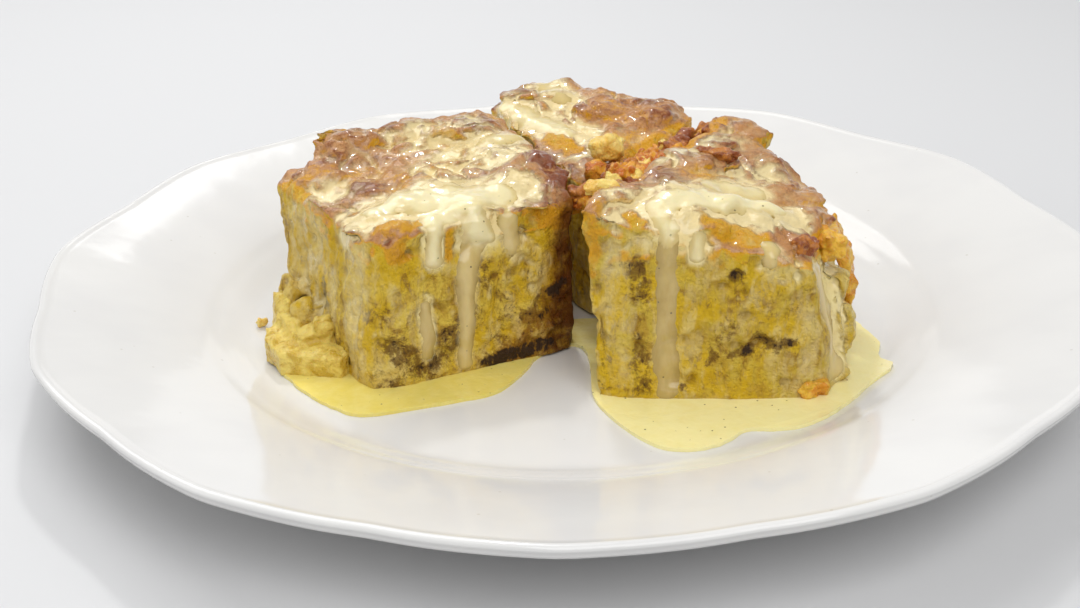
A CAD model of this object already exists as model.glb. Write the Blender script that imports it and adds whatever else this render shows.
"""Squares of bread pudding in custard sauce on a scalloped white plate: the finished looks.

Units are metres. The near side of the plate faces -Y, and the table is at height 0.
"""
import math
import random

import bpy
import bmesh
from mathutils import Matrix, Vector, noise
from mathutils.bvhtree import BVHTree


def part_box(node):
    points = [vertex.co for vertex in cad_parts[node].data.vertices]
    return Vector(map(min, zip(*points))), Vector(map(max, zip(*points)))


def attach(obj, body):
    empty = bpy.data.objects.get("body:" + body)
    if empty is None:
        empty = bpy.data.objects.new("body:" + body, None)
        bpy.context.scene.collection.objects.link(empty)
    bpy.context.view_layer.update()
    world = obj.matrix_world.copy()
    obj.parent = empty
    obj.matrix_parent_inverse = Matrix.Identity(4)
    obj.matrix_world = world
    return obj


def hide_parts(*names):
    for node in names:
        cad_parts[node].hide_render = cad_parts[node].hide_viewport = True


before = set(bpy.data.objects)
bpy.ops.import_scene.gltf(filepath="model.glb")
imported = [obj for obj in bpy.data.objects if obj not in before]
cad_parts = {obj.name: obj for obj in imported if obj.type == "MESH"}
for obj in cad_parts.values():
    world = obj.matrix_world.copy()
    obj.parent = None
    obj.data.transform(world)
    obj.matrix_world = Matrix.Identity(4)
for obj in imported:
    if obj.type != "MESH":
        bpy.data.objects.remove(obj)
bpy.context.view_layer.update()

MM = 0.001
BODY = "root"

RIM_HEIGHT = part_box("plate")[1].z
FLOOR_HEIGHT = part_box("sauce_pool")[0].z - 0.4 * MM  # the plate's floor, inside the well

# Plate, as turned: the same section as its solid, with finer steps and a moulded lip.
PLATE_RADIUS = 135 * MM
FLOOR_RADIUS = 84 * MM
WELL_RADIUS = 93 * MM
WELL_HEIGHT = 10.2 * MM
FOOT_OUTER = 80 * MM
FOOT_INNER = 74 * MM
FOOT_RECESS = 2.2 * MM
SCALLOPS = 12
SCALLOP_DEPTH = 1.5 * MM
SCALLOP_TURN = math.radians(29)
SCALLOP_POINT = 0.97     # 1 would make the zigzag's corners sharp
PLATE_STEPS = 288

SKIN_GRAIN = 0.75 * MM  # face size on the pudding squares
CRUST_DEPTH = 12 * MM    # how far down from a square's highest point the crust reaches
CLIP_DEPTH = 22 * MM     # above this depth, lumps are trimmed to a square's cut sides
COAT_WALL = 0.8 * MM     # how far the thick sauce's underside sinks into the bread


# -------------------------------- shader maths

class Value:
    """A shader socket with Python's operators: each adds its own Math node."""

    def __init__(self, finish, socket):
        self.finish = finish
        self.socket = socket

    def math(self, operation, *others, clamp=False):
        node = self.finish.tree.nodes.new("ShaderNodeMath")
        node.operation = operation
        node.use_clamp = clamp
        for slot, item in zip(node.inputs, (self, *others)):
            self.finish.feed(slot, item)
        return Value(self.finish, node.outputs[0])

    def __add__(self, other):
        return self.math("ADD", other)

    __radd__ = __add__

    def __mul__(self, other):
        return self.math("MULTIPLY", other)

    __rmul__ = __mul__

    def __sub__(self, other):
        return self.math("SUBTRACT", other)

    def __rsub__(self, other):
        return (self * -1.0) + other

    def clamped(self):
        return self.math("ADD", 0.0, clamp=True)

    def above(self, low, high):
        """Rise smoothly from 0 at low to 1 at high."""
        return self.finish.node("ShaderNodeMapRange", {"interpolation_type": "SMOOTHSTEP"},
                                {"Value": self, "From Min": low, "From Max": high})

    def peak(self, middle, width):
        """1 at a middle value, falling to 0 at a width on each side of it."""
        return (1.0 - (self - middle).math("ABSOLUTE") * (1.0 / width)).clamped()


class Finish:
    """A material: its Principled shader and the nodes that feed it."""

    def __init__(self, name, **constants):
        self.material = bpy.data.materials.new(name)
        self.material.use_nodes = True
        self.tree = self.material.node_tree
        self.shader = self.tree.nodes["Principled BSDF"]
        for label, value in constants.items():
            self.shader.inputs[label.replace("_", " ")].default_value = value
        place = self.tree.nodes.new("ShaderNodeTexCoord")
        self.place = Value(self, place.outputs["Object"])

    def feed(self, slot, item):
        """Link a value to a socket, or set the socket to a constant."""
        if isinstance(item, Value):
            self.tree.links.new(item.socket, slot)
        elif isinstance(item, tuple) and len(item) == 3 and slot.type == "RGBA":
            slot.default_value = (*item, 1.0)
        else:
            slot.default_value = item

    def node(self, kind, settings, sockets, output=0):
        """Add any node: its settings first, then the values or links of its sockets."""
        node = self.tree.nodes.new(kind)
        for label, value in settings.items():
            setattr(node, label, value)
        for label, item in sockets.items():
            self.feed(node.inputs[label], item)
        return Value(self, node.outputs[output])

    def attribute(self, name):
        return self.node("ShaderNodeAttribute", {"attribute_name": name}, {}, "Fac")

    def tall(self, share):
        """The place with its heights scaled down, so that grains stand tall."""
        return self.node("ShaderNodeMapping", {},
                         {"Vector": self.place, "Scale": (1.0, 1.0, share)})

    def speckle(self, size, detail=3.0, rough=0.55, warp=0.0, place=None):
        """Noise whose grains are about a given size, in metres."""
        return self.node("ShaderNodeTexNoise", {},
                         {"Vector": place or self.place, "Scale": 1.0 / size, "Detail": detail,
                          "Roughness": rough, "Distortion": warp})

    def cells(self, size):
        """Distance from scattered points about a given size apart, in metres."""
        return self.node("ShaderNodeTexVoronoi", {},
                         {"Vector": self.place, "Scale": 1.0 / size}, "Distance")

    def blend(self, share, first, second):
        """Go from one colour to another."""
        node = self.tree.nodes.new("ShaderNodeMix")
        node.data_type = "RGBA"
        for slot, item in zip((node.inputs[0], node.inputs[6], node.inputs[7]),
                              (share, first, second)):
            self.feed(slot, item)
        return Value(self, node.outputs[2])

    def relief(self, height, depth):
        """Turn a height into a surface normal; depth is in metres."""
        return self.node("ShaderNodeBump", {},
                         {"Height": height, "Distance": depth, "Strength": 1.0})

    def paint(self, **sockets):
        """Feed the shader's own sockets."""
        for label, item in sockets.items():
            self.feed(self.shader.inputs[label.replace("_", " ")], item)
        return self.material


# -------------------------------- colours

CUSTARD = (0.76, 0.49, 0.020)
CUSTARD_PALE = (0.82, 0.59, 0.085)
KHAKI = (0.56, 0.33, 0.036)
CINNAMON = (0.27, 0.125, 0.012)
RAISIN = (0.040, 0.020, 0.011)
GOLDEN = (0.82, 0.40, 0.016)
TOAST = (0.62, 0.290, 0.105)
DARK_TOAST = (0.28, 0.070, 0.018)
CREAM = (0.85, 0.73, 0.38)
WHITE_GLAZE = (0.75, 0.742, 0.725)
GREY_GLAZE = (0.72, 0.712, 0.70)
PINHOLE = (0.62, 0.60, 0.56)
PALE_RIDGE = (0.90, 0.70, 0.24)    # crumb that stands out
CUSTARD_VEIL = (0.88, 0.69, 0.27)  # custard soaked down the cut sides
SPICE = (0.17, 0.080, 0.015)
AMBER_SHADE = (0.46, 0.20, 0.010)  # where syrup has run into the cut
DEEP_SHADE = (0.10, 0.016, 0.002)
CRUMB_SHADE = (0.34, 0.11, 0.010)
VANILLA = (0.13, 0.10, 0.05)

# Custard sauce: where it is thick, where it is thin, and along its edge.
COAT_SAUCE = ((0.86, 0.73, 0.42), (0.66, 0.50, 0.21), (0.40, 0.27, 0.07))
POOL_SAUCE = ((0.98, 0.87, 0.42), (0.84, 0.68, 0.15), (0.86, 0.82, 0.66))


def plate_finish():
    """White glaze over stoneware: bright, very slightly uneven, warm in thick places."""
    finish = Finish("white_glaze", Roughness=0.10, IOR=1.5)
    cloud = finish.speckle(28 * MM, 2.0)
    ripple = finish.speckle(13 * MM, 2.0)
    pinhole = finish.cells(9 * MM).above(0.02, 0.05)
    colour = finish.blend(cloud.above(0.35, 0.7), WHITE_GLAZE, GREY_GLAZE)
    colour = finish.blend(pinhole, PINHOLE, colour)
    return finish.paint(Base_Color=colour, Roughness=0.07 + 0.08 * cloud,
                        Normal=finish.relief(ripple, 0.10 * MM))


def pudding_finish(name, yellow, pale):
    """Soaked bread: crumb, cinnamon swirls and raisins, toasted where the crust is."""
    finish = Finish(name, IOR=1.42, Specular_IOR_Level=0.22)
    toast = finish.attribute("toast")
    cream = finish.attribute("cream")
    stain = finish.attribute("stain")
    shade = finish.attribute("shade")
    rise = finish.attribute("rise")
    patch = finish.speckle(12 * MM, 3.0, 0.6, 0.6)
    spots = finish.speckle(5 * MM, 5.0, 0.7, 0.5)
    crumb = finish.speckle(1.4 * MM, 5.0, 0.75)
    fibre = finish.speckle(1.8 * MM, 5.0, 0.7, 0.4, finish.tall(0.4))
    swirl = finish.speckle(13 * MM, 3.0, 0.6, 1.6)
    inside = finish.blend(patch.above(0.42, 0.58), yellow, pale)
    inside = finish.blend((spots + (fibre - 0.5) * 0.5 + (patch - 0.5) * 0.6)
                          .above(0.44, 0.66) * 0.85, inside, KHAKI)
    inside = finish.blend((spots + (fibre - 0.5) * 0.8 + (swirl - 0.5) * 0.8)
                          .above(0.57, 0.76) * 0.7, inside, CINNAMON)
    inside = finish.blend(swirl.peak(0.55, 0.05) * fibre.above(0.42, 0.60) * 0.5, inside,
                          CINNAMON)
    inside = finish.blend(crumb.above(0.60, 0.74) * 0.38, inside, CINNAMON)
    inside = finish.blend(fibre.above(0.40, 0.28) * 0.35, inside, pale)
    inside = finish.blend((0.0 - rise).above(0.10, 0.7) * 0.6, inside, CINNAMON)
    inside = finish.blend((rise + (fibre - 0.5) * 0.8).above(0.15, 0.7) * 0.7, inside,
                          PALE_RIDGE)
    veil = finish.speckle(6 * MM, 3.0, 0.6, 0.3, finish.tall(0.3))
    inside = finish.blend((veil + (fibre - 0.5) * 0.5).above(0.46, 0.66) * 0.58, inside,
                          CUSTARD_VEIL)
    ragged = stain + (crumb - 0.5) * 1.5 + (spots - 0.5) * 2.0
    inside = finish.blend(ragged.above(0.35, 0.80) * 0.8, inside, SPICE)
    raisin = (stain + (fibre - 0.5) * 1.6 + (spots - 0.5) * 2.2).above(0.75, 1.05)
    mottle = 1.0 + (crumb - 0.5) * 1.2 + (spots - 0.5) * 2.0
    baked = toast * mottle
    crust = finish.blend((baked + rise * 0.15).above(0.30, 0.62), GOLDEN, TOAST)
    crust = finish.blend((baked + (patch - 0.5) * 1.6 + rise * 0.25).above(0.64, 1.10), crust,
                         DARK_TOAST)
    colour = finish.blend(baked.above(0.08, 0.32), inside, crust)
    gloom = shade * (1.0 + (spots - 0.5) * 1.6)
    colour = finish.blend(gloom.above(0.0, 0.70) * 0.6, colour, AMBER_SHADE)
    colour = finish.blend(gloom.above(0.36, 1.05) * 0.9, colour, DEEP_SHADE)
    colour = finish.blend(raisin * 0.95, colour, RAISIN)
    drift = 1.0 + (patch - 0.5) * 1.6 + (spots - 0.5) * 1.8 - rise * 1.2
    film = (cream * drift).above(0.10, 0.95)
    colour = finish.blend(film * 0.80, colour, CREAM)
    rough = 0.36 - 0.20 * film
    pores = finish.cells(1.1 * MM).above(0.0, 0.6)
    grain = crumb * 1.0 + fibre * 0.9 + pores * 0.3
    return finish.paint(Base_Color=colour, Roughness=rough,
                        Coat_Weight=0.06 + (toast.clamped() + film).clamped() * 0.65,
                        Normal=finish.relief(grain * (1.0 - film * 0.8), 1.1 * MM))


def lump_finish(name, light, dark):
    """A torn lump: bright crumb in the hollows, toasted on what stands out."""
    finish = Finish(name, IOR=1.42, Subsurface_Weight=0.10,
                    Subsurface_Radius=(0.003, 0.0015, 0.0006), Subsurface_Scale=0.5)
    patch = finish.speckle(4.0 * MM, 4.0, 0.65, 0.6)
    crumb = finish.speckle(1.1 * MM, 4.0, 0.7)
    colour = finish.blend(patch.above(0.42, 0.60), light, dark)
    colour = finish.blend(crumb.above(0.54, 0.74) * 0.32, colour, CRUMB_SHADE)
    return finish.paint(Base_Color=colour, Roughness=0.36 - 0.15 * patch,
                        Coat_Weight=0.15 + 0.2 * patch,
                        Normal=finish.relief(crumb + patch, 0.9 * MM))


def sauce_finish(name, thick, thin, edge, weight):
    """Custard sauce: wet, a little cloudy, taking the colour beneath where it thins."""
    finish = Finish(name, Roughness=0.14, IOR=1.38, Subsurface_Weight=weight,
                    Subsurface_Radius=(0.006, 0.004, 0.0015), Subsurface_Scale=0.6,
                    Coat_Weight=0.4, Coat_Roughness=0.05)
    depth = finish.attribute("depth")
    cloud = finish.speckle(7 * MM, 3.0, 0.6, 0.4)
    streak = finish.speckle(3 * MM, 3.0, 0.6, 0.3, finish.tall(0.4))
    speck = finish.cells(2.6 * MM).above(0.06, 0.12)
    grain = finish.speckle(1.2 * MM, 3.0)
    colour = finish.blend((depth + (cloud - 0.5) * 0.3 + (streak - 0.5) * 0.3)
                          .above(0.40, 0.95), thin, thick)
    colour = finish.blend((depth + (streak - 0.5) * 0.3).above(0.0, 0.45), edge, colour)
    colour = finish.blend((1.0 - speck) * grain.above(0.44, 0.56) * 0.9, colour, VANILLA)
    return finish.paint(Base_Color=colour, Roughness=0.10 + 0.12 * cloud,
                        Normal=finish.relief(cloud + grain * 0.25, 0.25 * MM))


# -------------------------------- shape helpers

def smooth_step(value, low=0.0, high=1.0):
    """Rise from 0 to 1 without corners."""
    share = min(max((value - low) / (high - low), 0.0), 1.0)
    return share * share * (3.0 - 2.0 * share)


def grain_at(place, size, seed=0.0):
    """Smooth noise from -1 to 1 at a place, with grains of a size in mm."""
    return noise.noise(place / (size * MM) + Vector((seed, seed * 1.7, -seed)))


def node_shape(name):
    """A merged copy of a solid's skin."""
    shape = bmesh.new()
    shape.from_mesh(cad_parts[name].data)
    bmesh.ops.remove_doubles(shape, verts=shape.verts, dist=1e-6)
    return shape


def fuse(shape, grain):
    """Join overlapping closed shapes into one closed skin of small even faces."""
    rough = bpy.data.meshes.new("rough")
    shape.to_mesh(rough)
    shape.free()
    holder = bpy.data.objects.new("rough", rough)
    bpy.context.scene.collection.objects.link(holder)
    skin = holder.modifiers.new("skin", "REMESH")
    skin.mode = "VOXEL"
    skin.voxel_size = grain
    graph = bpy.context.evaluated_depsgraph_get()
    made = bpy.data.meshes.new_from_object(holder.evaluated_get(graph))
    bpy.data.objects.remove(holder)
    fused = bmesh.new()
    fused.from_mesh(made)
    bpy.data.meshes.remove(made)
    bpy.data.meshes.remove(rough)
    return fused


def settle(shape, rounds, factor=0.5):
    """Smooth a shape's unevenness."""
    for _ in range(rounds):
        bmesh.ops.smooth_vert(shape, verts=shape.verts, factor=factor, use_axis_x=True,
                              use_axis_y=True, use_axis_z=True)


def keep_piece(name, shape, material, stands_for=(), sharp=None):
    """Make an object of a finished shape and enter it in the frame's tables."""
    mesh = bpy.data.meshes.new(name)
    shape.to_mesh(mesh)
    shape.free()
    mesh.materials.append(material)
    mesh.shade_smooth()
    if sharp:
        mesh.set_sharp_from_angle(angle=math.radians(sharp))
    piece = bpy.data.objects.new(name, mesh)
    bpy.context.scene.collection.objects.link(piece)
    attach(piece, BODY)
    if stands_for:
        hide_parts(*stands_for)
    return piece


def add_lump(shape, centre, size, tilt, seed, detail=3, rough=0.22):
    """Add a rough ball of torn bread to a shape; centre and size are in mm."""
    turn = Matrix.Rotation(tilt[2], 4, "Z") @ Matrix.Rotation(tilt[0], 4, "X")
    turn = turn @ Matrix.Rotation(tilt[1], 4, "Y")
    made = bmesh.ops.create_icosphere(shape, subdivisions=detail, radius=1.0)["verts"]
    for vert in made:
        unit = vert.co.copy()
        swell = 1.0 + rough * noise.noise(unit * 1.4 + Vector((seed, seed, 0)))
        swell += 0.5 * rough * noise.noise(unit * 3.1 + Vector((0, seed, seed)))
        box = max(abs(part) for part in unit) ** -0.45   # halfway from a ball to a box
        vert.co = Vector([part * half / 2 * MM for part, half in
                          zip(unit * swell * box, size)])
    bmesh.ops.transform(shape, matrix=Matrix.Translation(Vector(centre) * MM) @ turn,
                        verts=made)


def chain_reach(place, chain):
    """How deep a place lies inside a chain of balls: 1 on its line, 0 at its edge."""
    best = -9.0
    for (start, first), (end, last) in zip(chain, chain[1:] or chain):
        run = end - start
        share = 0.0
        if run.length_squared > 0.0:
            share = min(max((place - start).dot(run) / run.length_squared, 0.0), 1.0)
        radius = first + (last - first) * share
        depth = 1.0 - (place - start - run * share).length / radius
        best = max(best, depth)
    return best


# -------------------------------- plate

def scallop(angle):
    """How far the rim is drawn out at an angle, from -1 to 1: a softened zigzag."""
    wave = math.cos(SCALLOPS * (angle - SCALLOP_TURN))
    return 1.0 - 2.0 * math.acos(SCALLOP_POINT * wave) / math.pi


def curve_through(points, steps):
    """A smooth open line through points (Catmull-Rom)."""
    line = []
    for index in range(len(points) - 1):
        p0 = Vector(points[max(index - 1, 0)])
        p1 = Vector(points[index])
        p2 = Vector(points[index + 1])
        p3 = Vector(points[min(index + 2, len(points) - 1)])
        for step in range(steps):
            t = step / steps
            line.append((2 * p1 + (p2 - p0) * t + (2 * p0 - 5 * p1 + 4 * p2 - p3) * t ** 2
                         + (3 * p1 - p0 - 3 * p2 + p3) * t ** 3) / 2)
    line.append(Vector(points[-1]))
    return line


def plate_top(radius):
    """Height of the plate's upper face at a radius, before the scallops."""
    wall = smooth_step(radius, FLOOR_RADIUS - 2 * MM, WELL_RADIUS + 3 * MM)
    height = FLOOR_HEIGHT + (WELL_HEIGHT - FLOOR_HEIGHT) * wall
    if radius > WELL_RADIUS:
        share = (radius - WELL_RADIUS) / (PLATE_RADIUS - WELL_RADIUS)
        height += (RIM_HEIGHT - WELL_HEIGHT) * (1.25 * share - 0.25 * share ** 2)
    return height


def make_plate():
    """Turn the section, then draw the rim into scallops and press the lip's groove."""
    upper = [(0.0, FLOOR_HEIGHT), (40 * MM, FLOOR_HEIGHT), (76 * MM, FLOOR_HEIGHT)]
    radius = 80 * MM
    while radius < PLATE_RADIUS - 2.0 * MM:
        upper.append((radius, plate_top(radius)))
        radius += 1.6 * MM
    lip = [(PLATE_RADIUS - 1.6 * MM, RIM_HEIGHT - 0.1 * MM),
           (PLATE_RADIUS - 0.7 * MM, RIM_HEIGHT - 0.15 * MM),
           (PLATE_RADIUS - 0.1 * MM, RIM_HEIGHT - 0.6 * MM),
           (PLATE_RADIUS - 0.05 * MM, RIM_HEIGHT - 1.1 * MM),
           (PLATE_RADIUS - 0.5 * MM, RIM_HEIGHT - 1.6 * MM),
           (PLATE_RADIUS - 0.45 * MM, RIM_HEIGHT - 2.1 * MM),
           (PLATE_RADIUS - 0.7 * MM, RIM_HEIGHT - 2.8 * MM),
           (PLATE_RADIUS - 1.6 * MM, RIM_HEIGHT - 3.1 * MM)]
    rim_width = PLATE_RADIUS - WELL_RADIUS
    rim_rise = RIM_HEIGHT - WELL_HEIGHT
    under = [(WELL_RADIUS + 0.60 * rim_width, WELL_HEIGHT + 0.46 * rim_rise),
             (WELL_RADIUS + 2 * MM, FLOOR_HEIGHT + 0.8 * MM),
             (FOOT_OUTER + 4 * MM, FOOT_RECESS + 0.2 * MM),
             (FOOT_OUTER + 0.6 * MM, 0.5 * MM), (FOOT_OUTER, 0.0), (FOOT_INNER, 0.0),
             (FOOT_INNER - 0.6 * MM, 0.5 * MM), (FOOT_INNER - 2.5 * MM, FOOT_RECESS),
             (0.0, FOOT_RECESS)]
    under = [(point.x, point.y) for point in
             curve_through([(x, z, 0.0) for x, z in [lip[-1]] + under[:3]], 6)[1:]] \
        + under[3:]
    shape = bmesh.new()
    points = [shape.verts.new((x, 0.0, z)) for x, z in upper + lip + under]
    edges = [shape.edges.new(pair) for pair in zip(points, points[1:])]
    bmesh.ops.spin(shape, geom=points + edges, cent=(0, 0, 0), axis=(0, 0, 1),
                   angle=math.tau, steps=PLATE_STEPS, use_merge=True)
    bmesh.ops.remove_doubles(shape, verts=shape.verts, dist=1e-5)
    for vert in shape.verts:
        radius = math.hypot(vert.co.x, vert.co.y)
        if radius > WELL_RADIUS:
            angle = math.atan2(vert.co.y, vert.co.x)
            share = smooth_step(radius, WELL_RADIUS, PLATE_RADIUS)
            stretch = 1.0 + SCALLOP_DEPTH * share * scallop(angle) / radius
            vert.co.x *= stretch
            vert.co.y *= stretch
            vert.co.z += 0.35 * MM * share * (math.cos(SCALLOPS * (angle - SCALLOP_TURN)) - 1)
    bmesh.ops.recalc_face_normals(shape, faces=shape.faces)
    keep_piece("plate_glazed", shape, plate_finish(), ["plate"])


# -------------------------------- pudding squares

class Square:
    """One cut square: its solid's name, its crust's lumps, its sauce and its stains."""

    def __init__(self, node, seed, side_swell, details):
        tree = BVHTree.FromBMesh(node_shape(node))
        self.node = node
        self.seed = seed
        self.side_swell = side_swell
        self.extras = details.get("extras", [])
        self.domes = details["domes"]
        self.films = chains_on(tree, details["films"])
        self.stains = chains_on(tree, details["stains"])
        self.toasts = chains_on(tree, details["toasts"])
        self.shades = chains_on(tree, details["shades"])
        self.ridges = chains_on(tree, details["ridges"])
        self.golden = chains_on(tree, details["golden"])
        self.runs = [(on_skin(tree, points), thick, body)
                     for points, thick, body in details["runs"]]

    def shape(self):
        """The solid's skin with torn bread on top, then worked over at three scales."""
        shape = node_shape(self.node)
        low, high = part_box(self.node)
        for vert in shape.verts:
            if vert.co.z < low.z + 0.5 * MM:
                vert.co.z = FLOOR_HEIGHT + 0.1 * MM
        tree = BVHTree.FromBMesh(shape)
        chance = random.Random(self.seed)
        span_x, span_y = (high.x - low.x) / MM, (high.y - low.y) / MM
        for x, y, width, lift in self.domes:
            hit = tree.ray_cast(Vector((x * MM, y * MM, 1.0)), Vector((0, 0, -1)))[0]
            size = (width, width * chance.uniform(0.7, 0.95), width * 0.42)
            add_lump(shape, (x, y, hit.z / MM + lift - width * 0.15), size,
                     (0.0, 0.0, chance.uniform(0, math.tau)), chance.uniform(0, 50))
        for _ in range(int(span_x * span_y / 110)):
            x = low.x / MM + chance.uniform(0.06, 0.94) * span_x
            y = low.y / MM + chance.uniform(0.06, 0.94) * span_y
            hit = tree.ray_cast(Vector((x * MM, y * MM, 1.0)), Vector((0, 0, -1)))[0]
            if hit is None or hit.z < high.z - 11 * MM:
                continue
            width = chance.uniform(8, 17)
            size = (width, width * chance.uniform(0.6, 1.0), chance.uniform(5, 8))
            tilt = (chance.uniform(-0.2, 0.2), chance.uniform(-0.2, 0.2),
                    chance.uniform(0, math.tau))
            add_lump(shape, (x, y, hit.z / MM - chance.uniform(2.2, 3.6)), size, tilt,
                     chance.uniform(0, 50))
        for centre, size, tilt in self.extras:
            add_lump(shape, centre, size, tilt, chance.uniform(0, 50), 4, 0.35)
        shape = fuse(shape, SKIN_GRAIN)
        # Lumps that hang over a cut side are pulled back to it.
        for vert in shape.verts:
            if vert.co.z > high.z - CLIP_DEPTH:
                near, way = tree.find_nearest(vert.co)[:2]
                out = vert.co - near
                if abs(way.z) < 0.5 and out.dot(way) > 0.0:
                    vert.co -= Vector((out.x, out.y, 0.0)) * 0.92
        settle(shape, 3)
        shape.normal_update()
        seed = self.seed * 1.0
        for vert in shape.verts:
            up = max(vert.normal.z, 0.0)
            side = 1.0 - smooth_step(abs(vert.normal.z), 0.3, 0.8)
            foot = smooth_step(vert.co.z, FLOOR_HEIGHT + 0.5 * MM, FLOOR_HEIGHT + 4 * MM)
            place = vert.co
            push = self.side_swell * side * grain_at(place, 9, seed)
            tall = Vector((place.x, place.y, place.z * 0.5))
            push += 0.85 * side * grain_at(tall, 3.4, seed) + 0.55 * side * grain_at(tall, 1.5)
            pit = grain_at(place, 4.6, seed + 7)
            push -= 1.1 * side * smooth_step(pit, 0.22, 0.55)
            push += 0.9 * up * grain_at(place, 8, seed) + 0.6 * up * grain_at(place, 3.6, seed)
            push += (0.30 + 0.2 * up) * grain_at(place, 1.8, seed)
            crease = abs(grain_at(place, 13, seed + 3))
            push -= 1.2 * up * (1.0 - smooth_step(crease, 0.0, 0.08))
            for chain, height in self.ridges:
                push += height * smooth_step(chain_reach(place, chain), 0.0, 0.9)
            vert.co += vert.normal * push * MM * (0.25 + 0.75 * foot)
            vert.co.z = max(vert.co.z, FLOOR_HEIGHT + 0.05 * MM)
        shape.normal_update()
        # The sauce fills the bread's roughness where it runs.
        filled = shape.copy()
        settle(filled, 10)
        for vert, calm in zip(shape.verts, filled.verts):
            pool = 0.0
            for chain, _, body in self.runs:
                reach = chain_reach(vert.co, chain)
                pool = max(pool, smooth_step(reach, -0.5, 0.3) * (1.0 if body > 0.6 else 0.85))
            if pool > 0.0:
                vert.co = vert.co.lerp(calm.co, 0.85 * pool) + calm.normal * pool * 0.2 * MM
        filled.free()
        shape.normal_update()
        return shape

    def colour(self, shape):
        """Write where the crust, the cream, the stains and the shade are on each point."""
        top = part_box(self.node)[1].z - CRUST_DEPTH
        layers = {label: shape.verts.layers.float.new(label)
                  for label in ("toast", "cream", "stain", "shade", "rise")}
        soft = shape.copy()
        settle(soft, 14)
        for vert, calm in zip(shape.verts, soft.verts):
            vert[layers["rise"]] = (vert.co - calm.co).dot(vert.normal) / MM
        soft.free()
        tree = BVHTree.FromBMesh(node_shape(self.node))
        for vert in shape.verts:
            place = vert.co
            roof = tree.ray_cast(Vector((place.x, place.y, 1.0)), Vector((0, 0, -1)))[0]
            depth = (roof.z - place.z) if roof else 1.5 * MM
            near_top = smooth_step(place.z, top - 6 * MM, top + 2 * MM)
            facing = smooth_step(vert.normal.z, 0.25, 0.65)
            edge = smooth_step(vert.normal.z, -0.1, 0.3) * (1 - smooth_step(depth, 0, 3 * MM))
            toast = near_top * max(facing, 0.5 * edge)
            toast *= 0.66 + 0.38 * grain_at(place, 13, self.seed)
            toast += 0.12 * grain_at(place, 5, self.seed) * near_top
            for chain, amount in self.toasts:
                toast += amount * smooth_step(chain_reach(place, chain), -0.1, 0.6)
            film = 0.0
            for chain, amount in self.films:
                film = max(film, amount * smooth_step(chain_reach(place, chain), -0.15, 0.45))
            for chain, _, body in self.runs:
                reach = chain_reach(place, chain) + 0.3 * grain_at(place, 5, self.seed)
                film = max(film, 1.15 * body * smooth_step(reach, -0.55, 0.35))
            film += 0.34 * facing * near_top
            for chain, amount in self.golden:
                bare = smooth_step(chain_reach(place, chain) + 0.35 * grain_at(place, 3, 2.0),
                                   -0.1, 0.5)
                toast += (amount - toast) * bare
                film *= 1.0 - 0.9 * bare
            vert[layers["toast"]] = toast
            vert[layers["cream"]] = film
            for label, rows in (("stain", self.stains), ("shade", self.shades)):
                vert[layers[label]] = max([amount * smooth_step(chain_reach(place, chain),
                                                                0.0, 0.8)
                                           for chain, amount in rows] + [0.0])

    def coat(self, shape):
        """The thick sauce: the square's own skin, filled out and raised along the runs."""
        coat = shape.copy()
        settle(coat, 5)
        coat.normal_update()
        bumps = [(rough.co - calm.co).dot(calm.normal) / MM
                 for rough, calm in zip(shape.verts, coat.verts)]
        depth_of = coat.verts.layers.float.new("depth")
        low = set()
        for vert, bump in zip(coat.verts, bumps):
            place = vert.co.copy()
            level, white = -9.0, 0.0
            wobble = 0.30 * grain_at(place, 6, self.seed) + 0.20 * grain_at(place, 2.2, 5.0)
            for chain, thick, body in self.runs:
                reach = chain_reach(place, chain) + wobble * (1.0 if body > 0.7 else 0.75)
                if reach > 0.15:
                    level = max(level, thick * smooth_step(reach, 0.15, 1.0))
                    white = max(white, body * (0.45 + 0.55 * smooth_step(reach, 0.15, 0.7)))
                else:
                    level = max(level, 2.0 * (reach - 0.15))
            if level > 0.0:
                side = 1.0 - smooth_step(abs(vert.normal.z), 0.3, 0.8)
                level = max(level, side * (bump * smooth_step(level, 0, 0.2) + 0.6 * level))
            vert.co += vert.normal * max(level, -1.0) * MM
            vert[depth_of] = white
            if level < -0.4:
                low.add(vert)
        doomed = [face for face in coat.faces if all(vert in low for vert in face.verts)]
        bmesh.ops.delete(coat, geom=doomed, context="FACES")
        bmesh.ops.delete(coat, geom=[vert for vert in coat.verts if not vert.link_faces],
                         context="VERTS")
        coat.normal_update()
        inner = bmesh.ops.extrude_face_region(coat, geom=coat.faces[:], use_keep_orig=True)
        for item in inner["geom"]:
            if isinstance(item, bmesh.types.BMVert):
                item.co -= item.normal * COAT_WALL
        bmesh.ops.recalc_face_normals(coat, faces=coat.faces)
        return coat


def on_skin(tree, points):
    """Lay a chain's points on a skin; each is x, y, z and a radius, all in mm."""
    chain = []
    for x, y, z, radius in points:
        near = tree.find_nearest(Vector((x, y, z)) * MM)[0]
        chain.append((near, radius * MM))
    return chain


def chains_on(tree, rows):
    return [(on_skin(tree, points), amount) for points, amount in rows]


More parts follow.
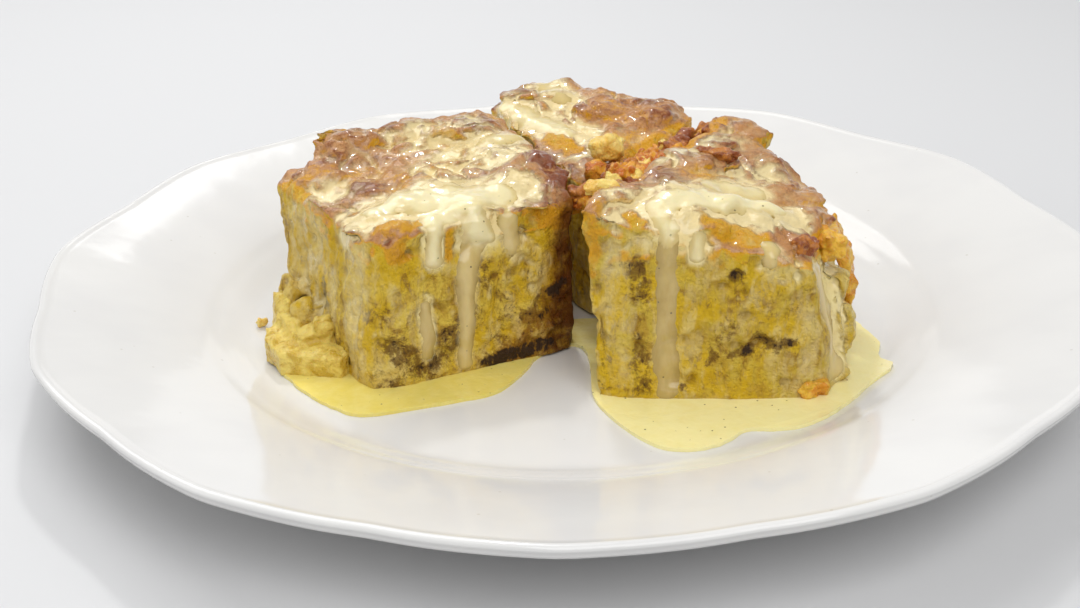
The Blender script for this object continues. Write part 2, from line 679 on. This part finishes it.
# What is worked into each square. A place is x, y, z and a radius in mm, laid on the
# square's skin; a row is a chain of places and an amount. For ridges the amount is a
# height in mm. A run of thick sauce has a thickness in mm and how white it is. A dome of
# crust is x, y, width and lift in mm; an extra is a torn lump's centre, size and tilt.
LEFT = {
    "golden": [
        (((-42, -43, 45, 3.2), (-38, -42, 45, 3.6), (-39.5, -46, 39, 2.8)), 0.30),
        (((-34, -39.5, 45.5, 2.2),), 0.26),
        (((-27.5, -39, 42.5, 1.8), (-27.5, -40.5, 37, 1.6)), 0.24),
        (((-14, -31.5, 43, 2.6), (-13.5, -33, 39, 2.2)), 0.28),
        (((-6, -28, 42, 3.2), (0, -25, 41, 3.6)), 0.30),
        (((-66, -17, 45, 3.0), (-72, -8, 44, 2.6)), 0.22),
        (((-63, -9, 46, 6.0),), 0.42),
        (((1, -5, 46, 8.0), (4, -14, 44, 7.0)), 1.2),
    ],
    "domes": ((-57, 7, 19, 1.0), (-61, -8, 17, 0.6), (-49, -19, 12, 0.6), (-27, 15, 17, 1.0),
              (-8, -6, 14, 0.6), (-42, 14, 14, 0.8), (-40, -41, 10, 0.2), (-5, -20, 9, 0.2)),
    "films": [
        (((-50, -36, 46, 9), (-30, -30, 47, 12), (-14, -24, 48, 9)), 0.85),
        (((-20, -8, 49, 5), (-12, -2, 49, 4)), 0.6),
        (((-31, -9, 49, 10), (-20, 6, 50, 9)), 0.55),
        (((-64, -18, 40, 14), (-62, -26, 22, 15)), 0.45),
        (((-50, -40, 42, 7), (-51, -43, 24, 7), (-51, -44, 12, 6)), 0.42),
        (((-41, 8, 50, 8), (-30, 16, 50, 8)), 0.4),
        (((-30, -40, 43, 4), (-20, -37, 40, 6)), 0.65),
        (((-13, -33, 40, 4), (-12, -33, 34, 3)), 0.6),
        (((-12, -32, 38, 3), (-6, -30, 31, 3.4), (-9, -31, 25, 3.0)), 0.5),
        (((-33.5, -43.5, 27, 3), (-33.5, -44, 14, 2.5)), 0.6),
    ],
    "stains": [
        (((-41, -47.2, 17, 7), (-36, -46, 10, 6)), 0.72),
        (((-31, -45, 13, 7), (-22, -41, 22, 6)), 0.68),
        (((-60, -28.6, 20, 3.4), (-59, -28, 26, 2)), 0.85),
        (((-36.2, -44.6, 39.5, 2.6),), 0.9),
        (((-18, -38, 28, 5), (-15, -36, 20, 6)), 0.5),
        (((-9, -32, 17, 7), (-3, -29, 22, 7)), 0.75),
        (((-19, -39.5, 8, 3.4), (-10, -34, 9.5, 4.6), (-3, -29.5, 10, 4.2)), 1.02),
        (((-6, -30, 23, 3.0), (-1, -27.5, 25, 3.0)), 1.0),
        (((-46, -46, 26, 7), (-40, -45, 20, 7)), 0.40),
        (((-20, -38, 34, 5), (-18, -38, 26, 6)), 0.42),
        (((-16, -37, 12, 9), (-6, -31, 14, 9)), 0.55),
        (((-12, -34, 26, 8), (-4, -29, 32, 6)), 0.35),
        (((-44, -47, 10, 8), (-34, -46, 9, 8)), 0.5),
        (((-56, -38, 12, 6), (-50, -44, 10, 6)), 0.45),
        (((-66, -18, 15, 8),), 0.45),
    ],
    "toasts": [
        (((-58, 7, 50, 9), (-60, -7, 47, 7)), 0.25),
        (((-48, -20, 47, 6),), 0.35),
        (((-40, -41.5, 45, 4.0), (-40.6, -45, 41, 2.5)), 0.30),
        (((-27.5, -38.5, 43, 2.2), (-27.5, -40, 38, 1.6)), 0.25),
        (((-14, -30, 44, 3.5), (-3, -25, 42, 5)), 0.25),
        (((-6, -8, 46, 9), (0, -16, 44, 8), (3, -23, 42, 5)), 0.95),
        (((-25, 14, 51, 8),), 0.25),
    ],
    "shades": [
        (((3, -27, 8, 15), (4, -24, 24, 13), (4, -22, 38, 11)), 1.0),
        (((-14, -34, 8, 9), (-6, -30, 14, 12)), 0.55),
        (((-14, -37, 8, 4), (-6, -32, 12, 7)), 0.45),
    ],
    "ridges": [
        (((-12, -32, 37, 2.6), (-6, -30, 31, 2.8), (-9, -31, 25, 2.6)), 0.8),
        (((-11, -31, 32, 3.0),), -1.2),
        (((-36.2, -44.6, 39.5, 1.9),), -2.0),
        (((-12, -34, 13, 1.8), (-3, -29, 15, 2.0)), 1.0),
        (((-20, -38, 15, 3.0),), 0.8),
        (((-14, -35, 24, 2.6),), 1.0),
        (((-17, -37, 30, 2.2),), -1.1),
        (((-7, -31, 21, 2.4),), -1.2),
    ],
    "extras": [
        ((-66, -27, 10), (14, 12, 7), (0.2, -0.2, 0.3)),
        ((-61, -32, 9.5), (12, 9, 7), (0.2, 0.1, -0.4)),
        ((-71, -19, 15), (5, 9, 15), (0.0, 0.25, 0.3)),
        ((-65, -25, 17), (7, 6, 6), (0.4, 0.3, 0.5)),
        ((-70, -24, 10), (8, 10, 7), (0.0, 0.1, 0.2)),
    ],
    "runs": [
        (((-46, -34, 46, 4.0), (-38, -31, 47, 6.5), (-26, -29, 47, 7.5), (-16, -27, 48, 5)),
         0.8, 1.0),
        (((-30, -37, 47, 4.5), (-22, -33, 46.5, 5.5)), 0.7, 0.95),
        (((-22, -31, 47, 5.5), (-22, -36, 45.5, 5.2), (-20.5, -36.5, 41, 4.6)), 0.9, 0.95),
        (((-31, -38, 46, 3.8), (-31, -41.4, 43, 3.0), (-31.1, -42.3, 37, 2.8)), 1.0, 0.9),
        (((-20.5, -37, 41, 4.2), (-23.6, -38.5, 34, 3.0), (-24.6, -39.5, 20, 2.5),
          (-25.2, -40.6, 9, 2.5)), 0.85, 0.36),
        (((-33.5, -43.5, 26, 2.0), (-33.6, -44, 14, 2.6)), 0.4, 0.26),
        (((-20, 4, 50, 4.4), (-12, 8, 50, 4.4)), 0.45, 0.6),
        (((-15, -32, 43, 3.4), (-13.6, -33, 37, 3.0)), 0.5, 0.5),
    ],
}

BACK = {
    "golden": [
        (((10, -3, 46, 4), (18, 9, 46, 3), (28, 25, 45, 3), (36, 36, 44, 3)), 0.28),
        (((-4, 20, 47, 3.5), (2, 12, 47, 3.5)), 0.26),
        (((10, 37, 50, 8.0), (22, 31, 50, 7.0)), 0.55),
    ],
    "domes": ((10, 38, 19, 1.0), (22, 33, 15, 0.8), (-3, 50, 14, 0.8), (-13, 46, 12, 1.0),
              (12, 14, 14, 0.4), (24, 22, 12, 0.5)),
    "films": [
        (((-17, 40, 47, 8), (-8, 32, 47, 9), (2, 24, 47, 8)), 0.75),
        (((-8, 58, 50, 8), (0, 42, 49, 7)), 0.65),
        (((4, 12, 47, 7),), 0.5),
    ],
    "stains": [
        (((24, 18, 30, 8),), 0.5),
    ],
    "toasts": [
        (((10, 38, 49, 9), (22, 34, 49, 9)), 0.35),
        (((36, 36, 44, 7),), 0.1),
    ],
    "shades": [],
    "ridges": [],
    "runs": [
        (((-17, 40, 47, 4), (-8, 31, 47, 5), (1, 22, 47, 4)), 0.5, 0.75),
        (((-6, 58, 50, 4.0), (-2, 46, 49, 4)), 0.3, 0.5),
    ],
}

RIGHT = {
    "golden": [
        (((3.5, -35, 47, 4.6), (2.5, -44, 48, 5.6), (3.5, -48, 46, 5.0), (3.5, -49, 37, 3.0)),
         0.26),
        (((14, -46, 50, 2.4), (15.5, -48, 48, 2.4)), 0.22),
        (((31, -47.5, 46.5, 3.4), (38, -48.5, 46, 4.2), (43, -50, 44.5, 3.2)), 0.24),
        (((49, -47, 45, 4.0),), 0.6),
        (((30, -2, 52, 3), (40, 12, 52, 3)), 0.34),
    ],
    "domes": ((38, 0, 16, 0.8), (36, -12, 14, 0.8), (50, -44, 12, 0.0), (48, -22, 13, 0.4),
              (43, 12, 13, 0.6), (14, -33, 12, 0.4), (24, -22, 14, 0.4)),
    "films": [
        (((6, -44, 50, 8), (14, -42, 50, 8)), 0.6),
        (((22, -42, 50, 10), (40, -40, 47, 10), (50, -38, 45, 8)), 0.9),
        (((62, -32, 34, 8), (66, -36, 20, 9), (66, -40, 10, 8)), 1.0),
        (((40, -26, 47, 8), (48, -14, 47, 7)), 0.4),
        (((14, -49, 45, 5), (30, -51, 44, 4)), 0.5),
        (((10, -49.5, 42, 4.0), (11, -52, 26, 4.0), (11.5, -53.5, 12, 4)), 0.38),
        (((59, -40, 33, 5), (61, -42, 22, 5), (61, -48, 11, 4)), 1.0),
        (((45, -54, 39, 4), (50, -54, 38, 4)), 0.55),
        (((24, -12, 50, 8), (38, 2, 50, 8)), 0.4),
        (((55, -54, 26, 3), (54, -55, 14, 3)), 0.35),
    ],
    "stains": [
        (((37, -55, 18, 2.4), (41, -55, 19.5, 2.6)), 0.80),
        (((43, -55, 22.5, 2.6), (46.5, -55, 20.5, 3.2), (51, -55.4, 21.5, 2.2)), 0.88),
        (((32, -54.5, 16, 2.5), (36, -54.5, 24, 6)), 0.52),
        (((37.5, -53.4, 37, 3.6),), 0.90),
        (((15, -50, 38, 4.5), (16, -50.5, 31, 4.5)), 0.66),
        (((10, -51, 40, 4),), 0.52),
        (((16, -52.5, 20, 4.5), (17, -53, 10, 5)), 0.62),
        (((26, -55, 10.5, 2.6),), 0.8),
        (((8, -51, 20, 4.5), (8, -52, 10, 4)), 0.5),
        (((57, -56, 10, 4),), 0.6),
        (((48, -54, 30, 6),), 0.38),
    ],
    "toasts": [
        (((3.5, -45.8, 49, 4.5), (3.5, -48, 40, 3.0)), 0.30),
        (((34, -48, 45.5, 3.2), (42, -50, 43, 3.2)), 0.36),
        (((15, -45, 49, 2.6),), 0.2),
        (((53, -48, 41, 4.4),), 0.9),
        (((38, -4, 50, 8), (32, -13, 50, 7)), 0.35),
        (((50, -44, 43, 5),), 0.35),
        (((58, -55, 9.5, 3.0),), 0.45),
    ],
    "shades": [
        (((2, -34, 8, 8), (2, -30, 28, 6)), 0.8),
    ],
    "extras": [
        ((59.5, -38, 25), (9, 13, 20), (0.0, 0.15, 0.2)),
        ((62.0, -38, 16), (10, 15, 18), (0.0, 0.1, 0.1)),
        ((61.5, -44, 10), (8, 13, 9), (0.1, 0.1, -0.1)),
        ((60.0, -29, 34), (9, 14, 17), (0.0, 0.1, 0.2)),
    ],
    "ridges": [
        (((37.5, -53.4, 37, 2.4),), -1.2),
        (((39, -55, 20, 1.4), (47, -55, 22, 1.6)), -1.0),
        (((16, -50, 36, 2.6),), -0.8),
    ],
    "runs": [
        (((24, -41, 50, 4.5), (32, -39, 49.5, 6.5), (41, -36, 48.5, 6.5), (48, -36, 46, 4)),
         0.7, 1.0),
        (((34, -30, 50, 4), (44, -27, 48, 4.5)), 0.4, 0.7),
        (((21, -44, 49.5, 4.6), (22.3, -49.5, 46.5, 3.8)), 0.6, 0.8),
        (((22.3, -49.5, 46.8, 3.6), (22.1, -51.6, 35.5, 3.2), (21.8, -52.9, 23.7, 3.1),
          (22.4, -54.5, 9, 3.8)), 0.75, 0.20),
        (((28.4, -50, 45, 3), (28.5, -51.4, 41.5, 2.4)), 0.9, 0.7),
        (((45, -52, 43, 3), (44.8, -54, 40.5, 2.2)), 0.6, 0.4),
        (((57, -50, 38, 3.4), (59, -47, 26, 3.4), (60.5, -50, 12, 4.0)), 0.6, 0.40),
    ],
}


def make_square(node, details, yellow, pale, seed, side_swell, sauce):
    """A square, its colours and its coat of sauce."""
    square = Square(node, seed, side_swell, details)
    shape = square.shape()
    square.colour(shape)
    coat = square.coat(shape)
    material = pudding_finish(node + "_crumb", yellow, pale)
    keep_piece(node + "_baked", shape, material, [node])
    keep_piece(node + "_sauce_coat", coat, sauce)


# -------------------------------- small pieces

def make_small_piece(node, material, grain, swell):
    """A small solid worked over until it looks torn."""
    shape = fuse(node_shape(node), grain * MM)
    settle(shape, 2)
    shape.normal_update()
    for vert in shape.verts:
        push = 1.3 * swell * grain_at(vert.co, 4.0, 5.0) + 0.9 * swell * grain_at(vert.co, 1.8)
        push -= 1.4 * swell * smooth_step(grain_at(vert.co, 3.0, 9.0), 0.2, 0.5)
        vert.co += vert.normal * push * MM
    keep_piece(node + "_torn", shape, material, [node])


def make_scraps(pale, brown, yellow, golden):
    """Scraps of crust and crumb on the right square, at its foot and on the plate."""
    for name, finish, centre, size, tilt in (
            ("pale_chip", pale, (7.5, -34, 51.5), (7.5, 4.0, 3.2), (0.1, 0.05, 0.1)),
            ("crust_sliver", brown, (37, -11, 51.0), (12, 4.2, 3.4), (0.1, -0.05, -0.55)),
            ("crust_corner", brown, (53, -48, 41.5), (5.5, 4.0, 6.0), (0.0, 0.2, 0.3)),
            ("crust_hinge", golden, (60.2, -39, 38.5), (6.5, 9.0, 7.0), (0.1, 0.3, 0.1)),
            ("plate_crumb", yellow, (-80.4, -12.4, 7.4), (2.6, 2.0, 2.4), (0.2, 0.3, 0.4)),
            ("foot_crumb", golden, (56.0, -54.5, 9.0), (7.0, 4.0, 5.0), (0.0, 0.2, 0.2))):
        shape = bmesh.new()
        add_lump(shape, centre, size, tilt, centre[0], 4, 0.4)
        shape = fuse(shape, 0.3 * MM)
        shape.normal_update()
        for vert in shape.verts:
            push = 0.4 * grain_at(vert.co, 2.4, 5.0) + 0.25 * grain_at(vert.co, 1.1)
            vert.co += vert.normal * push * MM
        keep_piece(name, shape, finish)


def make_slab(material):
    """The slab that slipped off the left square: a torn shelf lying against its foot."""
    shape = bmesh.new()
    outline = [shape.verts.new((x * MM, y * MM, 6.4 * MM)) for x, y in
               ((-70, -40.5), (-62, -42), (-55, -43), (-53, -40), (-57, -33), (-65, -24),
                (-72, -24), (-75.5, -28), (-75, -33))]
    shelf = bmesh.ops.extrude_face_region(shape, geom=[shape.faces.new(outline)],
                                          use_keep_orig=True)
    for item in shelf["geom"]:
        if isinstance(item, bmesh.types.BMVert):
            item.co.z = (12.2 + 0.10 * (item.co.y / MM + 42)) * MM
    bmesh.ops.recalc_face_normals(shape, faces=shape.faces)
    for centre, size, tilt in (
            ((-63, -31, 13), (11, 9, 5.5), (0.2, -0.1, 0.2)),
            ((-69, -26, 14), (7, 8, 5.0), (0.2, -0.1, 0.6)),
            ((-72.5, -22.5, 14), (3.4, 8, 13), (0.0, 0.15, 0.5)),
            ((-60, -33, 16), (5, 5, 5), (0.3, 0.1, 0.2))):
        add_lump(shape, centre, size, tilt, centre[0], 4, 0.35)
    shape = fuse(shape, 0.5 * MM)
    settle(shape, 2)
    shape.normal_update()
    for vert in shape.verts:
        up = max(vert.normal.z, 0.0)
        push = 0.4 * grain_at(vert.co, 5, 5.0) + (0.2 + 0.3 * up) * grain_at(vert.co, 2.0)
        push += 0.2 * grain_at(vert.co, 1.0) - 0.7 * up * smooth_step(
            grain_at(vert.co, 3.2, 9.0), 0.2, 0.5)
        vert.co += vert.normal * push * MM
    keep_piece("slipped_slab_torn", shape, material, ["slipped_slab"])


CUT_START = (4, -20)         # near end of the cut between the squares, in mm
CUT_RUN = (30, 43)           # from its near end to its far end
CUT_ACROSS = (-0.848, 0.530)


def make_valley(bright, brown, pale):
    """Torn crumbs that fill the cut between the squares up to their tops."""
    chance = random.Random(21)
    for name, finish, count, slot in (("cut_crumbs_bright", bright, 60, "soaked_bread"),
                                      ("cut_crumbs_brown", brown, 62, "toasted_crust"),
                                      ("cut_crumbs_pale", pale, 10, "soaked_bread")):
        shape = bmesh.new()
        for index in range(count):
            share = (index + chance.uniform(0.0, 1.0)) / count
            across = chance.uniform(-11.0, 5.5)
            x = CUT_START[0] + CUT_RUN[0] * share + across * CUT_ACROSS[0]
            y = CUT_START[1] + CUT_RUN[1] * share + across * CUT_ACROSS[1]
            z = 39.0 + chance.uniform(0.0, 5.5) - 0.3 * max(across, 0.0)
            if across < -5.5:
                z = 48.0 + chance.uniform(0.0, 1.8)
            width = chance.uniform(2.8, 6.4)
            size = (width, width * chance.uniform(0.6, 1.0), width * chance.uniform(0.5, 0.9))
            tilt = [chance.uniform(-0.6, 0.6), chance.uniform(-0.6, 0.6),
                    chance.uniform(0, math.tau)]
            add_lump(shape, (x, y, z), size, tilt, chance.uniform(0, 90), 3, 0.5)
        shape = fuse(shape, 0.36 * MM)
        shape.normal_update()
        for vert in shape.verts:
            push = 0.9 * grain_at(vert.co, 2.2, 5.0) + 0.5 * grain_at(vert.co, 1.0)
            vert.co += vert.normal * push * MM
        keep_piece(name, shape, finish)


# -------------------------------- sauce pool

POOL_SHORE = (
    (-71, -38), (-64, -48), (-54.5, -57), (-47, -60.5), (-36, -57.5), (-25, -53.8),
    (-17, -50), (-11.5, -41), (-8, -33), (-3, -27), (3, -27), (5, -38), (5.3, -52),
    (8.5, -61), (13.5, -69.5), (20, -76), (28, -76.8), (35, -73), (39, -69), (46, -68.8),
    (52, -68.5), (58, -64.5), (64, -58), (70, -50), (77, -42), (75.5, -35), (77, -28),
    (75, -18), (71, -10), (60, -4), (30, -6), (0, -12), (-30, -10), (-58, -18),
)


def make_pool(material):
    """The pool: a flat sheet with a rounded shore, lying on the plate's floor and wall."""
    ring = [point * MM for point in
            curve_through([(x, y, 0.0) for x, y in (*POOL_SHORE, POOL_SHORE[0])], 8)[:-1]]
    shape = bmesh.new()
    shore = []
    for point in ring:
        nudge = 0.6 * grain_at(point, 5, 2.0) + 0.3 * grain_at(point, 2.2, 4.0)
        out = point - Vector((0, -30 * MM, 0))
        shore.append(shape.verts.new(point + out.normalized() * nudge * MM))
    sheet = [shape.faces.new(shore)]
    if sheet[0].normal.z < 0:
        bmesh.ops.reverse_faces(shape, faces=sheet)
    # Each ring of the shore: how far in from the last, and how much higher, in mm.
    rings = [(0.12, 0.16), (0.18, 0.14), (0.3, 0.15), (0.7, 0.17), (1.4, 0.15), (2.4, 0.10)]
    depth_of = shape.verts.layers.float.new("depth")
    level = {vert: 0.0 for vert in shape.verts}
    height = 0.0
    for inward, rise in rings:
        bmesh.ops.inset_region(shape, faces=sheet, thickness=inward * MM, depth=0.0,
                               use_even_offset=True)
        height += rise
        for vert in sheet[0].verts:
            level[vert] = height
            vert[depth_of] = height * (0.6 + 0.4 * smooth_step(vert.co.x, -10 * MM, 15 * MM))
    shape.normal_update()
    for vert in shape.verts:
        radius = math.hypot(vert.co.x, vert.co.y)
        vert.co.z = plate_top(radius) + (level[vert] + 0.05) * MM
    bmesh.ops.triangulate(shape, faces=sheet)
    under = bmesh.ops.extrude_face_region(shape, geom=shape.faces[:], use_keep_orig=True)
    for item in under["geom"]:
        if isinstance(item, bmesh.types.BMVert):
            item.co.z = plate_top(math.hypot(item.co.x, item.co.y)) - 0.3 * MM
    bmesh.ops.recalc_face_normals(shape, faces=shape.faces)
    keep_piece("sauce_pool_wet", shape, material, ["sauce_pool"], 60)


# -------------------------------- stage

CAMERA_PLACE = (0.0, -0.3292, RIM_HEIGHT + 0.13645)
CAMERA_TURN = (64.996, 1.149, 0.817)     # in degrees
TABLE_WHITE = (0.64, 0.64, 0.645)
SKY = (0.98, 0.99, 1.0, 1.0)
SKY_STRENGTH = 0.39


def make_stage():
    """A plain pale table, soft light and the camera."""
    floor = bmesh.new()
    bmesh.ops.create_grid(floor, x_segments=1, y_segments=1, size=6.0)
    mesh = bpy.data.meshes.new("table")
    floor.to_mesh(mesh)
    floor.free()
    finish = Finish("table_white", Roughness=0.6)
    mesh.materials.append(finish.paint(Base_Color=TABLE_WHITE))
    table = bpy.data.objects.new("table", mesh)
    bpy.context.scene.collection.objects.link(table)

    world = bpy.data.worlds.new("studio")
    bpy.context.scene.world = world
    world.use_nodes = True
    sky = world.node_tree.nodes["Background"]
    sky.inputs["Color"].default_value = SKY
    sky.inputs["Strength"].default_value = SKY_STRENGTH

    # Each lamp: its place, what it faces, its width and height in metres, and its power.
    for name, place, aim, size, power in (
            ("back_window", (-0.40, 0.60, 0.95), (0, 0, 0.02), (0.9, 0.9), 6.0),
            ("left_window", (-1.0, -0.30, 0.45), (0, 0, 0.03), (0.6, 0.6), 1.6),
            ("front_window", (0.22, -0.70, 0.95), (0, 0, 0.03), (0.9, 0.9), 8.2),
            ("horizon", (0.0, 1.20, 0.14), (0, 0, 0.03), (5.0, 0.40), 3.6),
            ("glint", (-0.10, 0.45, 0.70), (0, 0, 0.04), (0.06, 0.06), 1.3)):
        lamp = bpy.data.lights.new(name, "AREA")
        lamp.shape = "RECTANGLE"
        lamp.size, lamp.size_y = size
        lamp.energy = power
        light = bpy.data.objects.new(name, lamp)
        light.location = place
        direction = Vector(aim) - Vector(place)
        light.rotation_euler = direction.to_track_quat("-Z", "Y").to_euler()
        bpy.context.scene.collection.objects.link(light)

    lens = bpy.data.cameras.new("camera")
    lens.lens = 45
    lens.sensor_width = 36
    camera = bpy.data.objects.new("camera", lens)
    camera.location = CAMERA_PLACE
    camera.rotation_euler = [math.radians(part) for part in CAMERA_TURN]
    bpy.context.scene.collection.objects.link(camera)
    bpy.context.scene.camera = camera
    bpy.context.scene.view_settings.view_transform = "Standard"


def build():
    make_stage()
    make_plate()
    coat = sauce_finish("custard_coat", *COAT_SAUCE, 0.2)
    pool = sauce_finish("custard_pool", *POOL_SAUCE, 0.15)
    make_square("left_square", LEFT, CUSTARD, CUSTARD_PALE, 3, 1.0, coat)
    make_square("back_square", BACK, CUSTARD, CUSTARD_PALE, 8, 0.9, coat)
    make_square("right_square", RIGHT, CUSTARD, (0.70, 0.50, 0.065), 12, 0.45, coat)
    amber = lump_finish("amber_crumb", (0.82, 0.38, 0.024), (0.58, 0.15, 0.008))
    yellow = lump_finish("yellow_crumb", (1.0, 0.74, 0.20), (0.92, 0.56, 0.09))
    brown = lump_finish("brown_crumb", (0.56, 0.20, 0.024), (0.28, 0.065, 0.010))
    custardy = lump_finish("custardy_crumb", (0.86, 0.66, 0.15), (0.66, 0.44, 0.05))
    make_small_piece("torn_middle", amber, 0.8, 0.6)
    make_small_piece("yellow_lump", yellow, 0.45, 0.6)
    for node, finish in (("orange_lump", amber), ("amber_lump", amber),
                         ("dark_lump", brown), ("peaked_lump", brown)):
        make_small_piece(node, finish, 0.45, 0.6)
    make_slab(custardy)
    golden = lump_finish("golden_crust", (0.88, 0.52, 0.05), (0.74, 0.30, 0.018))
    make_small_piece("peeled_crust", golden, 0.5, 0.75)
    make_valley(amber, brown, yellow)
    make_scraps(yellow, brown, yellow, golden)
    make_pool(pool)


build()
